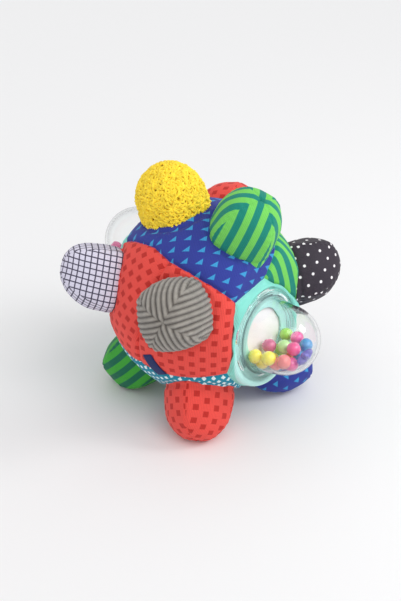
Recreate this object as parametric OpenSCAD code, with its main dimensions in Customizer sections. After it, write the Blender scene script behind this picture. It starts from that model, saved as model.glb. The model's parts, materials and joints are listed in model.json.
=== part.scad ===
// Sensory ball: a stuffed fabric ball with ten stuffed knobs and two clear windows that hold loose beads.
// The ball stands on three of its knobs. Every panel, knob, wad, dome and bead is a separate solid.

/* [Ball] */
// Radius of the stuffed ball, measured to the outside of its panels
ball_r = 56; // [52:0.5:60]
// Thickness of a panel: the printed fabric with its backing
panel_t = 1.2; // [0.8:0.1:2]
// Distance from the ball's centre to the middle of each window
window_d = 46; // [44:0.5:47]

/* [Knobs] */
// Widest radius of a knob
knob_r = 19.5; // [18:0.5:20]
// Height of a knob's tip above the ball
knob_h = 27; // [22:0.5:32]
// Thickness of a knob's cover
cover_t = 1.2; // [0.8:0.1:2]
// Depth of the four sewn seams of a knob
seam_dip = 0.9; // [0.4:0.1:1.4]
// Depth of the flat that a resting knob makes on the floor
rest_flat = 0.5; // [0.3:0.1:0.8]

/* [Windows] */
// Outer radius of a clear dome at its flange
dome_r = 22; // [21:0.5:24]
// Outer radius of a clear dome's round end
dome_end_r = 20; // [19.5:0.5:21]
// Distance from a dome's flange to the centre of its round end
dome_neck = 14.5; // [13:0.5:18]
// Wall of the clear domes
dome_wall = 1.5; // [1:0.1:1.8]
// Radius of a dome's flange
flange_r = 27; // [26:0.5:28]
// Thickness of a dome's flange
flange_t = 1.6; // [1:0.1:2]
// Radius of the hole in a window panel
window_r = 15; // [14:0.5:17]
// How far the white plates behind the windows stay inside the flange's edge
plate_inset = 2; // [1:0.5:3]
// Thickness of those plates
plate_t = 2; // [1.5:0.1:3]
// Width of the fabric rim round a flange
rim_w = 1.5; // [1:0.1:3]
// Depth of the fabric shoulder behind that rim
shoulder_h = 14; // [12:0.5:15]
// How much wider the shoulder is at its foot
shoulder_w = 6; // [5.5:0.5:8]

/* [Beads] */
// Diameter of a bead
bead_d = 8; // [7:0.1:8.2]
// Radius of the star bead to its points
star_r = 5.2; // [4.6:0.1:5.4]
// Thickness of the star bead
star_t = 4.6; // [4:0.1:5]

/* [Tab] */
// Width of the folded ribbon tab
tab_w = 7; // [5:0.5:9]
// Length of the ribbon tab
tab_l = 16; // [12:0.5:20]
// Thickness of the folded ribbon
tab_t = 1; // [0.6:0.1:1.4]

/* [Fits] */
// Gap between curved pieces that only touch
soft_gap = 0.3; // [0.2:0.05:0.4]
// Gap round a bead
bead_gap = 0.3; // [0.2:0.05:0.35]

/* [Hidden] */
$fn = 96;

// Places on the ball: turn about the vertical (0 is the front, 90 the right), and height as an angle.
// The ten knobs lean a little, as stuffed knobs do; each also has the turn of its seams.
GREY = 0;
STRIPE_TOP = 1;
YELLOW = 2;
DOT = 3;
RED_LOW = 4;
BLUE = 5;
GRID = 6;
STRIPE_LOW = 7;
RED_BACK = 8;
BACK = 9;
FRONT_WINDOW = 10;
REAR_WINDOW = 11;
low_tilt = -51;
knob_at = [
  [-16.5, 19.5, 80], [54.5, 62.5, 55], [-98, 73, 10], [107, 5, 12], [-5, low_tilt, 17],
  [98, low_tilt, 45], [-85, 13.5, 75], [-105, low_tilt, 55], [164, 28, 15], [165, -26, 25]
];
panel_at = [
  [-31.5, 0.5], [67, 75.5], [178, 77.5], [101.5, 16.5], [-37.5, -54], [98, -32.5],
  [-49.5, 3.5], [-84.5, -49.5], [163, 31.5], [165, -26], [65.5, -12.5], [-141, -1]
];
// The middle of each window, front and rear, and the way that its dome points
FRONT = 0;
REAR = 1;
window_at = [[48.5, -9.5], [-137, 12.5]];
dome_way = [[50.5, 7], [-137, 12.5]];
tab_at = [-31.5, -19, 27];

// Half of a knob's outline: shares of its widest radius, and of its height from its rim to its tip
knob_shares = [
  [1, 0], [0.995, 0.2], [0.97, 0.4], [0.91, 0.57], [0.795, 0.73], [0.625, 0.86], [0.425, 0.945], [0.215, 0.988]
];
gores = 4;
sides = 20;

overrun = 1;
reach = 2 * ball_r;
bead_r = bead_d / 2;
bead_pitch = bead_d + bead_gap;
dome_in_r = dome_r - dome_wall;
dome_end_in_r = dome_end_r - dome_wall;
knob_seat_r = ball_r + soft_gap;
knob_tip = ball_r + knob_h;
plate_r = flange_r - plate_inset;

// A unit vector from a turn and a height angle
function way(a) = [cos(a[1]) * sin(a[0]), -cos(a[1]) * cos(a[0]), sin(a[1])];

// How far a knob at one place reaches along a direction
function knob_reach(a, v) = let(c = way(a) * v, z0 = rim_z(knob_r * knob_shares[0][0]))
  max([for (s = knob_shares) (z0 + s[1] * (knob_tip - z0)) * c + s[0] * knob_r * sqrt(1 - c * c)]);
function rim_z(r) = sqrt(knob_seat_r * knob_seat_r - r * r);
function far_reach(v) = max([for (a = knob_at) knob_reach(a, v)]);

// The ball's centre, over the middle of the space that it takes, with its low knobs on the floor
centre = [
  (far_reach([-1, 0, 0]) - far_reach([1, 0, 0])) / 2,
  (far_reach([0, -1, 0]) - far_reach([0, 1, 0])) / 2,
  far_reach([0, 0, -1]) - rest_flat
];

module at_centre() {
  translate(centre) children();
}

// Turns +Z to a place on the ball
module facing(a) {
  rotate([0, 90 - a[1], a[0] - 90]) children();
}

// Turns +Z to a dome's way and moves to the middle of its window, on the fabric's outside
module at_window(w) {
  translate(window_d * way(window_at[w])) facing(dome_way[w]) children();
}

// The half of space on the side that a vector points to
module half_space(v) {
  rotate([0, acos(v[2] / norm(v)), atan2(v[1], v[0])])
    translate([-reach, -reach, 0])
      cube([2 * reach, 2 * reach, 2 * reach]);
}

// The ball with its two flat windows and the shoulders that carry their rims, shrunk by an inset
module shaped_ball(inset) {
  intersection() {
    union() {
      sphere(ball_r - inset);
      for (w = [FRONT, REAR])
        at_window(w)
          translate([0, 0, -shoulder_h])
            cylinder(h = shoulder_h, r1 = flange_r + rim_w + shoulder_w - inset, r2 = flange_r + rim_w - inset);
    }
    under_window(FRONT, inset);
    under_window(REAR, inset);
  }
}

// All that lies behind a window's plane
module under_window(w, inset) {
  at_window(w) translate([-reach, -reach, -2 * reach - inset]) cube([2 * reach, 2 * reach, 2 * reach]);
}

// One fabric panel: the ball's skin inside the planes halfway to each neighbour.
// A window's panel also takes the round rim that its flange lies on.
module panel(i) {
  at_centre()
    difference() {
      intersection() {
        difference() {
          shaped_ball(0);
          shaped_ball(panel_t);
        }
        union() {
          cell(i);
          if (i >= FRONT_WINDOW) rim(i - FRONT_WINDOW);
        }
      }
      if (i >= FRONT_WINDOW)
        at_window(i - FRONT_WINDOW) cylinder(h = 2 * (panel_t + overrun), r = window_r, center = true);
      else {
        rim(FRONT);
        rim(REAR);
      }
    }
}

// The round stretch of fabric under a window's flange
module rim(w) {
  at_window(w) cylinder(h = 2 * shoulder_h, r = flange_r + rim_w, center = true);
}

module cell(i) {
  intersection_for (j = [for (k = [0:len(panel_at) - 1]) if (near(i, k)) k])
    half_space(way(panel_at[i]) - way(panel_at[j]));
}
// Panels further apart than this, as the cosine of the angle between their middles, never meet
near_share = -0.2;
function near(i, k) = k != i && way(panel_at[i]) * way(panel_at[k]) > near_share;

// Depth of the seams at an angle round a knob, deepest at the seam itself
function seam_depth(angle) = seam_dip * pow(1 - abs(sin(angle * gores / 2)), 2);

// One ring of points round a knob; inset moves it inwards
function knob_ring(share, inset) = [
  for (k = [0:sides - 1])
    let(
      angle = k * 360 / sides,
      r = share[0] * (knob_r - seam_depth(angle)) - inset,
      z0 = rim_z(knob_shares[0][0] * knob_r),
      z = share[1] == 0 ? rim_z(r) : z0 + share[1] * (knob_tip - inset - z0)
    )
    [r * cos(angle), r * sin(angle), z]
];

// Triangles between two rings that start at points a and b
function band(a, b) = [
  for (k = [0:sides - 1])
    let(n = (k + 1) % sides)
    each [[a + k, b + k, a + n], [a + n, b + k, b + n]]
];
function fan(a, tip) = [for (k = [0:sides - 1]) [a + k, tip, a + (k + 1) % sides]];
function flipped(faces) = [for (f = faces) [f[0], f[2], f[1]]];

// A knob's cover: four sewn gores, open where it is sewn to its panel
module knob_cover() {
  rings = len(knob_shares);
  outer = [for (s = knob_shares) each knob_ring(s, 0)];
  inner = [for (s = knob_shares) each knob_ring(s, cover_t)];
  inner_start = len(outer) + 1;
  tips = [[0, 0, knob_tip], [0, 0, knob_tip - cover_t]];
  walls = [for (i = [0:rings - 2]) each band(i * sides, (i + 1) * sides)];
  inner_walls = [for (i = [0:rings - 2]) each band(inner_start + i * sides, inner_start + (i + 1) * sides)];
  polyhedron(
    points = concat(outer, [tips[0]], inner, [tips[1]]),
    faces = concat(
      walls,
      fan((rings - 1) * sides, len(outer)),
      flipped(inner_walls),
      flipped(fan(inner_start + (rings - 1) * sides, inner_start + len(inner))),
      flipped(band(0, inner_start))
    )
  );
}

// A knob in its place; a knob that the ball rests on is pressed flat there
module knob(i) {
  if (knob_at[i][1] > low_tilt)
    placed_cover(i);
  else
    intersection() {
      placed_cover(i);
      translate([-reach, -reach, 0]) cube([2 * reach, 2 * reach, 2 * reach]);
    }
}

module placed_cover(i) {
  at_centre() facing(knob_at[i]) rotate(knob_at[i][2]) knob_cover();
}

// The stuffing of one knob
module knob_wad() {
  play = cover_t + seam_dip + soft_gap;
  z0 = rim_z(knob_shares[0][0] * knob_r);
  difference() {
    rotate_extrude()
      polygon(concat(
        [[0, z0 - panel_t]],
        [for (s = knob_shares) [s[0] * knob_r - play, z0 + s[1] * (knob_tip - play - z0)]],
        [[0, knob_tip - play]]
      ));
    sphere(knob_seat_r);
  }
}

module knob_wads() {
  color("white")
    for (a = knob_at)
      at_centre() facing(a) knob_wad();
}

// The stuffing of the ball, with a seat for the plate behind each window
module ball_wad() {
  color("whitesmoke")
    at_centre()
      difference() {
        shaped_ball(panel_t + soft_gap);
        for (w = [FRONT, REAR])
          at_window(w)
            translate([0, 0, -panel_t - plate_t - soft_gap])
              cylinder(h = plate_t + overrun, r = plate_r + soft_gap);
      }
}

// A narrow ribbon sewn into the seam, folded flat on the ball
module ribbon_tab() {
  color("midnightblue")
    at_centre()
      intersection() {
        difference() {
          sphere(ball_r + tab_t);
          sphere(ball_r);
        }
        facing(tab_at) rotate(tab_at[2]) translate([-tab_l / 2, -tab_w / 2, 0]) cube([tab_l, tab_w, reach]);
      }
}

// The solid inside a dome's outline, grown or shrunk to a neck and an end radius
module dome_solid(neck_r, end_r) {
  cylinder(h = dome_neck, r1 = neck_r, r2 = end_r);
  translate([0, 0, dome_neck]) sphere(end_r);
}

module dome(w) {
  at_centre()
    at_window(w)
      difference() {
        union() {
          cylinder(h = flange_t, r = flange_r);
          intersection() {
            dome_solid(dome_r, dome_end_r);
            cylinder(h = reach, r = reach);
          }
        }
        dome_solid(dome_in_r, dome_end_in_r);
        translate([0, 0, -overrun]) cylinder(h = 2 * overrun, r = dome_in_r);
      }
}

// The plate that clamps the fabric to the dome's flange and closes the window
module back_plate(w) {
  at_centre() at_window(w) translate([0, 0, -panel_t - plate_t]) cylinder(h = plate_t, r = plate_r);
}

// Where a bead lies on a dome's wall, as [radius, height above the window], by the way along the wall
neck_slope = atan2(dome_in_r - dome_end_in_r, dome_neck);
roll_r = dome_end_in_r - bead_r - bead_gap;
first_h = bead_r + bead_gap;
neck_way = dome_neck - first_h;
row_share = 1.025;
row_way = row_share * bead_pitch;
function wall_place(way) = way < neck_way
  ? [roll_r + (neck_way - way) * tan(neck_slope), first_h + way]
  : let(turn = (way - neck_way) / roll_r * 180 / PI) [roll_r * cos(turn), dome_neck + roll_r * sin(turn)];

// The heap lies in rows from the window to the dome's end; a row's beads sit side by side on the low wall
heap_counts = [5, 5, 4];
function row_step(p) = 2 * asin(bead_pitch / 2 / p[0]);
even_step = row_step(wall_place(row_way));
function heap_turn(row, column) =
  (column - (heap_counts[row] - 1) / 2) * (row == 0 ? even_step : row_step(wall_place(row * row_way)));
function heap_place(row, column) = let(p = wall_place(row * row_way), a = heap_turn(row, column))
  [p[0] * cos(a), p[0] * sin(a), p[1]];

module heap_beads(w, places) {
  at_centre()
    at_window(w)
      for (p = places)
        translate(heap_place(p[0], p[1])) sphere(bead_r);
}

// The star bead lies flat against the dome's end, past the last row
module star_bead() {
  star_turn = 28;
  points = 5;
  inner_share = 0.62;
  lie_r = sqrt(dome_end_in_r * dome_end_in_r - star_r * star_r) - bead_gap - star_t;
  color("mediumpurple", 0.8)
    at_centre()
      at_window(FRONT)
        translate([0, 0, dome_neck])
          rotate([0, star_turn, 0])
            translate([0, 0, lie_r])
              linear_extrude(star_t)
                polygon([
                  for (k = [0:2 * points - 1])
                    let(r = star_r * (k % 2 == 0 ? 1 : inner_share), a = 180 / points * k)
                    [r * cos(a), r * sin(a)]
                ]);
}

// The top beads lie over the heap, near enough to the dome's middle to turn past every bead of it
top_r = wall_place(row_way)[0] - bead_pitch;
end_top_r = wall_place(2 * row_way)[0] - bead_pitch;
top_share = 0.95;
top_step = top_share * bead_pitch;
top_places = [
  [top_r * cos(even_step / 2), -top_r * sin(even_step / 2), first_h],
  [top_r * cos(even_step / 2), top_r * sin(even_step / 2), first_h + top_step],
  [end_top_r, 0, first_h + 2 * top_step]
];

module top_bead(k) {
  at_centre() at_window(FRONT) translate(top_places[k]) sphere(bead_r);
}

red = "tomato";
navy_blue = "royalblue";
green = "mediumseagreen";
teal = "darkcyan";
plum = "dimgray";
aqua = "aquamarine";

module panel_grey() { color(red) panel(GREY); }
module panel_stripe_top() { color(navy_blue) panel(STRIPE_TOP); }
module panel_yellow() { color(navy_blue) panel(YELLOW); }
module panel_dot() { color(green) panel(DOT); }
module panel_red_low() { color(teal) panel(RED_LOW); }
module panel_blue() { color(plum) panel(BLUE); }
module panel_grid() { color(red) panel(GRID); }
module panel_stripe_low() { color(teal) panel(STRIPE_LOW); }
module panel_red_back() { color(green) panel(RED_BACK); }
module panel_back() { color(plum) panel(BACK); }
module window_panel_front() { color(aqua) panel(FRONT_WINDOW); }
module window_panel_rear() { color(aqua) panel(REAR_WINDOW); }

module knob_grey() { color("darkgray") knob(GREY); }
module knob_stripe_top() { color("limegreen") knob(STRIPE_TOP); }
module knob_yellow() { color("gold") knob(YELLOW); }
module knob_dot() { color("darkslategray") knob(DOT); }
module knob_red_low() { color(red) knob(RED_LOW); }
module knob_blue() { color(navy_blue) knob(BLUE); }
module knob_grid() { color("lavender") knob(GRID); }
module knob_stripe_low() { color("forestgreen") knob(STRIPE_LOW); }
module knob_red_back() { color(red) knob(RED_BACK); }
module knob_back() { color(teal) knob(BACK); }

module front_dome() { color("aliceblue", 0.35) dome(FRONT); }
module rear_dome() { color("aliceblue", 0.35) dome(REAR); }
module front_back_plate() { color("white") back_plate(FRONT); }
module rear_back_plate() { color("white") back_plate(REAR); }

module beads_blue() { color("deepskyblue") heap_beads(FRONT, [[2, 2], [2, 3]]); }
module beads_orange() { color("darkorange") heap_beads(FRONT, [[1, 2], [1, 3]]); }
module beads_lime() { color("yellowgreen") heap_beads(FRONT, [[0, 3], [0, 4]]); }
module beads_yellow() { color("yellow") heap_beads(FRONT, [[0, 0], [0, 1], [0, 2], [1, 0]]); }
module beads_coral() { color("lightcoral") heap_beads(FRONT, [[1, 1], [2, 0]]); }
module beads_pink() { color("hotpink") heap_beads(FRONT, [[1, 4], [2, 1]]); }
module top_bead_rose() { color("palevioletred") top_bead(0); }
module top_bead_lime() { color("palegreen") top_bead(1); }
module top_bead_pink() { color("deeppink") top_bead(2); }
module rear_beads_yellow() { color("yellow") heap_beads(REAR, [[0, 0], [0, 3], [1, 1], [2, 2]]); }
module rear_beads_orange() { color("darkorange") heap_beads(REAR, [[0, 2], [1, 4], [2, 0]]); }
module rear_beads_blue() { color("deepskyblue") heap_beads(REAR, [[0, 4], [1, 2], [2, 1]]); }
module rear_beads_pink() { color("hotpink") heap_beads(REAR, [[0, 1], [1, 0], [1, 3], [2, 3]]); }

panel_grey();
panel_stripe_top();
panel_yellow();
panel_dot();
panel_red_low();
panel_blue();
panel_grid();
panel_stripe_low();
panel_red_back();
panel_back();
window_panel_front();
window_panel_rear();
knob_grey();
knob_stripe_top();
knob_yellow();
knob_dot();
knob_red_low();
knob_blue();
knob_grid();
knob_stripe_low();
knob_red_back();
knob_back();
knob_wads();
ball_wad();
ribbon_tab();
front_dome();
rear_dome();
front_back_plate();
rear_back_plate();
beads_blue();
beads_orange();
beads_lime();
beads_yellow();
beads_coral();
beads_pink();
star_bead();
top_bead_rose();
top_bead_lime();
top_bead_pink();
rear_beads_yellow();
rear_beads_orange();
rear_beads_blue();
rear_beads_pink();
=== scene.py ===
"""A stuffed sensory ball: printed panels, ten stuffed knobs and two clear windows that hold loose beads.

Lengths are in millimetres, and make_piece turns them into metres. Points are worked out from the ball's
centre and moved to their place in the frame at the end. A pair of numbers for a bell curve is its height
and its width.
"""

import json
import logging
import math
from dataclasses import dataclass, field
from enum import Enum

import bmesh
import bpy
import numpy as np
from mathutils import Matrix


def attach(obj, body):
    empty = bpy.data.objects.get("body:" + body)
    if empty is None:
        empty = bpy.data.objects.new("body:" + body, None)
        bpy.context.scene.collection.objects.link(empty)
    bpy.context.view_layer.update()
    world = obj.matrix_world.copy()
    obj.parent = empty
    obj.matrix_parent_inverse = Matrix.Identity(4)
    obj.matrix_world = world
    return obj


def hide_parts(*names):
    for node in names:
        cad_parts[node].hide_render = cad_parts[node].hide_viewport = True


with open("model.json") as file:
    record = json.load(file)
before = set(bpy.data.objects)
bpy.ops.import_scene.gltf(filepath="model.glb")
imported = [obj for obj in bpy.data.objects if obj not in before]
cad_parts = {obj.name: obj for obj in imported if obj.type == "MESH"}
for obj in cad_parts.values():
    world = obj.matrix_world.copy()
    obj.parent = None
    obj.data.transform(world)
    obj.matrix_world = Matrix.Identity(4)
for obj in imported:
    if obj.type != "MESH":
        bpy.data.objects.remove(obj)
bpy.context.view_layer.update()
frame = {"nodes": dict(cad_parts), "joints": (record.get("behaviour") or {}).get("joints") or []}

log = logging.getLogger("sensory_ball")
MM = 0.001
MERGE_WITHIN = 0.001
FULL_TURN = 2 * math.pi
QUARTER_TURN = math.pi / 2
GOLDEN_SHARE = 0.61803
CLOTH_UV = "cloth"
BALL_BODY = "ball"
HEAP_BODY = "bead_heap"
FRONT_JOINT = "heap_turn"
REAR_JOINT = "rear_heap_turn"
JOINED_CLOTH = "blue_triangles"


class Pattern(Enum):
    """The prints and weaves that the covers are cut from."""

    PLAIN = "plain"
    SQUARES = "squares"
    TRIANGLES = "triangles"
    DIAMONDS = "diamonds"
    DOTS = "dots"
    STRIPES = "stripes"
    GRID = "grid"
    RIBS = "ribs"
    PILE = "pile"


@dataclass(frozen=True)
class Place:
    """A place on the ball: its turn about the vertical, its height angle and its spin, in degrees."""

    turn: float
    height: float
    spin: float = 0.0

    def way(self) -> np.ndarray:
        """The unit vector from the ball's centre to this place."""
        return self.axes()[:, 2]

    def axes(self) -> np.ndarray:
        """Local axes as columns: x runs down the ball, y to the right and z outwards.

        Returns:
            A 3 by 3 matrix, already turned by the spin about its own z.
        """
        a, e = math.radians(self.turn), math.radians(self.height)
        down = np.array([math.sin(e) * math.sin(a), -math.sin(e) * math.cos(a), -math.cos(e)])
        right = np.array([math.cos(a), math.sin(a), 0.0])
        out = np.array([math.cos(e) * math.sin(a), -math.cos(e) * math.cos(a), math.sin(e)])
        return spun(down, right, out, self.spin)


def spun(down: np.ndarray, right: np.ndarray, out: np.ndarray, spin: float) -> np.ndarray:
    """Axes as columns, with the first two turned about the third by a spin in degrees."""
    s = math.radians(spin)
    across = math.cos(s) * down + math.sin(s) * right
    return np.stack([across, math.cos(s) * right - math.sin(s) * down, out], axis=1)


def tone(code: str) -> tuple[float, float, float, float]:
    """The linear colour of a six-digit sRGB code.

    Args:
        code: Six hexadecimal digits, two each for red, green and blue.

    Returns:
        The linear red, green and blue, and an alpha of one.
    """
    parts = [int(code[k : k + 2], 16) / 255 for k in (0, 2, 4)]
    return (*[c / 12.92 if c <= 0.04045 else ((c + 0.055) / 1.055) ** 2.4 for c in parts], 1.0)


def soft_min(a: np.ndarray, b: np.ndarray, width: float) -> np.ndarray:
    """The lower of a and b, with the corner between them rounded over a width."""
    h = np.clip(0.5 + 0.5 * (b - a) / width, 0, 1)
    return b * (1 - h) + a * h - width * h * (1 - h)


def soft_max(a: np.ndarray, b: np.ndarray, width: float) -> np.ndarray:
    """The higher of a and b, with the corner between them rounded over a width."""
    return -soft_min(-a, -b, width)


def bell(distance: np.ndarray, size: tuple[float, float]) -> np.ndarray:
    """A bell curve: its height times the exponential of less the square of the distance over its width."""
    height, width = size
    return height * np.exp(-((distance / width) ** 2))


def round_turn(count: int) -> np.ndarray:
    """Angles of a full turn in equal steps, without the last one, which is the first again."""
    return np.arange(count) / count * FULL_TURN


def ripple(points: np.ndarray, length: float, seed: int, waves: int = 7, gain: float = 1.8) -> np.ndarray:
    """A smooth uneven field: the mean of waves of about one length that run in seeded directions.

    Args:
        points: Points in millimetres, with x, y and z last.
        length: The waves' length.
        seed: The seed of their directions and starts.
        waves: How many waves there are.
        gain: What makes up for waves that cancel each other.

    Returns:
        One value from about -1 to 1 for each point.
    """
    draw = np.random.default_rng(seed)
    ways = draw.normal(size=(waves, 3))
    ways *= (FULL_TURN / length / np.linalg.norm(ways, axis=1) * draw.uniform(0.7, 1.3, waves))[:, None]
    starts = draw.uniform(0, FULL_TURN, waves)
    return np.sin(points @ ways.T + starts).mean(-1) * gain


def grid_faces(rows: int, cols: int, inwards: bool = False) -> np.ndarray:
    """Quads of a grid whose last column joins its first.

    Args:
        rows: Number of rows.
        cols: Number of columns.
        inwards: Whether rows cross columns the other way round, as in a grid that spreads from its middle.

    Returns:
        Four corner numbers for each face.
    """
    i, j = np.meshgrid(np.arange(rows - 1), np.arange(cols), indexing="ij")
    k = (j + 1) % cols
    quads = np.stack([i * cols + j, i * cols + k, (i + 1) * cols + k, (i + 1) * cols + j], -1)
    return quads.reshape(-1, 4)[:, ::-1] if inwards else quads.reshape(-1, 4)


def grid_normals(points: np.ndarray, inwards: bool = False) -> np.ndarray:
    """Unit normals of a grid, from the cross product of the steps along its columns and its rows."""
    around = np.roll(points, -1, axis=1) - np.roll(points, 1, axis=1)
    along = np.gradient(points, axis=0)
    normal = np.cross(along, around) if inwards else np.cross(around, along)
    return normal / np.maximum(np.linalg.norm(normal, axis=-1, keepdims=True), 1e-9)


def widen(values: np.ndarray, rows: int, cols: int) -> np.ndarray:
    """Spreads a coarse grid of values over a finer one in straight steps; the columns join up."""
    low_rows, low_cols = values.shape
    at_cols = np.arange(cols) / cols * low_cols
    ring = np.concatenate([values, values[:, :1]], axis=1)
    wide = np.stack([np.interp(at_cols, np.arange(low_cols + 1), row) for row in ring])
    at_rows = np.linspace(0, low_rows - 1, rows)
    low = np.floor(at_rows).astype(int).clip(0, low_rows - 2)
    share = (at_rows - low)[:, None]
    return wide[low] * (1 - share) + wide[low + 1] * share


def turned(outline: np.ndarray, cols: int) -> np.ndarray:
    """A surface of revolution about z: each radius and height of an outline, carried round a full turn."""
    turn = round_turn(cols)
    radius, height = outline[:, :1], outline[:, 1:]
    return np.stack([radius * np.cos(turn), radius * np.sin(turn), np.repeat(height, cols, 1)], -1)


def make_piece(
    name: str,
    points: np.ndarray,
    faces: np.ndarray,
    material: bpy.types.Material | None = None,
    uv: np.ndarray | None = None,
) -> bpy.types.Object:
    """Makes one smooth-shaded mesh object at the origin.

    Args:
        name: The piece's name.
        points: Points in millimetres in the frame, with x, y and z last.
        faces: Corner numbers, one row for each face.
        material: Its finish.
        uv: Two values for each corner of each face, or for each point.

    Returns:
        The new object, linked to the scene.
    """
    mesh = bpy.data.meshes.new(name)
    flat = points.reshape(-1, 3) * MM
    mesh.vertices.add(len(flat))
    mesh.vertices.foreach_set("co", flat.astype(np.float32).ravel())
    mesh.loops.add(faces.size)
    mesh.loops.foreach_set("vertex_index", faces.astype(np.int32).ravel())
    mesh.polygons.add(len(faces))
    mesh.polygons.foreach_set("loop_start", np.arange(len(faces), dtype=np.int32) * faces.shape[1])
    mesh.update(calc_edges=True)
    if uv is not None:
        corners = uv if uv.shape[0] == faces.size else uv.reshape(-1, 2)[faces.ravel()]
        mesh.uv_layers.new(name=CLOTH_UV).data.foreach_set("uv", corners.astype(np.float32).ravel())
    mesh.polygons.foreach_set("use_smooth", np.ones(len(faces), dtype=bool))
    mesh.validate()
    piece = bpy.data.objects.new(name, mesh)
    bpy.context.scene.collection.objects.link(piece)
    if material is not None:
        mesh.materials.append(material)
    return piece


def merge_and_face_out(piece: bpy.types.Object) -> None:
    """Merges a mesh's doubled points and turns its faces outwards."""
    work = bmesh.new()
    work.from_mesh(piece.data)
    bmesh.ops.remove_doubles(work, verts=work.verts, dist=MERGE_WITHIN * MM)
    bmesh.ops.recalc_face_normals(work, faces=work.faces)
    work.to_mesh(piece.data)
    work.free()


def declare(
    piece: bpy.types.Object, node: str, body: str = BALL_BODY
) -> None:
    """Lets a piece ride on a body in a node's place.

    Args:
        piece: The piece.
        node: The node that it stands for.
        body: The body that it rides on.
    """
    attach(piece, body)
    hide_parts(node)


class NodeTree:
    """Short ways to add and join the nodes of one shader tree."""

    def __init__(self, tree: bpy.types.NodeTree) -> None:
        """Keeps the tree that nodes are added to."""
        self.tree = tree

    def add(self, kind: str, **settings) -> bpy.types.Node:
        """Adds a node and sets its properties."""
        node = self.tree.nodes.new(kind)
        for key, value in settings.items():
            setattr(node, key, value)
        return node

    def feed(self, socket: bpy.types.NodeSocket, value) -> None:
        """Joins a socket to another one, or gives it a plain value."""
        if isinstance(value, bpy.types.NodeSocket):
            self.tree.links.new(value, socket)
        else:
            socket.default_value = value

    def fill(self, node: bpy.types.Node, values: dict) -> bpy.types.Node:
        """Feeds a node's inputs by their names and returns the node."""
        for key, value in values.items():
            self.feed(node.inputs[key], value)
        return node

    def math(self, operation: str, *values, clamp: bool = False) -> bpy.types.NodeSocket:
        """Adds a Math node for an operation on sockets or numbers and returns its result."""
        node = self.add("ShaderNodeMath", operation=operation, use_clamp=clamp)
        for socket, value in zip(node.inputs, values):
            self.feed(socket, value)
        return node.outputs[0]

    def near(self, middle: float, value: bpy.types.NodeSocket, depth: float) -> bpy.types.NodeSocket:
        """Turns a value from 0 to 1 into one about a middle, with a depth between its ends."""
        return self.math("ADD", self.math("MULTIPLY", value, depth), middle - depth / 2)

    def mix(self, share, a, b) -> bpy.types.NodeSocket:
        """Mixes colour a into colour b by a share."""
        node = self.add("ShaderNodeMix", data_type="RGBA")
        for key, value in (("Factor", share), ("A", a), ("B", b)):
            socket = next(s for s in node.inputs if s.name == key and (key == "Factor" or s.type == "RGBA"))
            self.feed(socket, value)
        return next(s for s in node.outputs if s.type == "RGBA")

    def noise(self, vector, scale: float, detail: float = 3.0, rough: float = 0.5) -> bpy.types.NodeSocket:
        """A noise texture's value, from 0 to 1 about a middle of a half."""
        node = self.add("ShaderNodeTexNoise")
        self.fill(node, {"Vector": vector, "Scale": scale, "Detail": detail, "Roughness": rough})
        return node.outputs["Fac"]

    def split(self, vector: bpy.types.NodeSocket) -> bpy.types.Node:
        """Splits a vector into its parts."""
        return self.fill(self.add("ShaderNodeSeparateXYZ"), {"Vector": vector})

    def cloth(self) -> bpy.types.NodeSocket:
        """The place on the cloth in millimetres, from the piece's own UV map."""
        return self.add("ShaderNodeUVMap", uv_map=CLOTH_UV).outputs["UV"]

    def place(self) -> bpy.types.NodeSocket:
        """The place on the object, in metres."""
        return self.add("ShaderNodeTexCoord").outputs["Object"]

    def grouped(self, group: bpy.types.NodeTree, values: dict) -> bpy.types.Node:
        """Places a node group and feeds its inputs by name."""
        return self.fill(self.add("ShaderNodeGroup", node_tree=group), values)


def new_material(name: str) -> tuple[bpy.types.Material, NodeTree, bpy.types.Node]:
    """Makes a material, and returns it with its tree and its own shader."""
    material = bpy.data.materials.new(name)
    material.use_nodes = True
    return material, NodeTree(material.node_tree), material.node_tree.nodes["Principled BSDF"]


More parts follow.
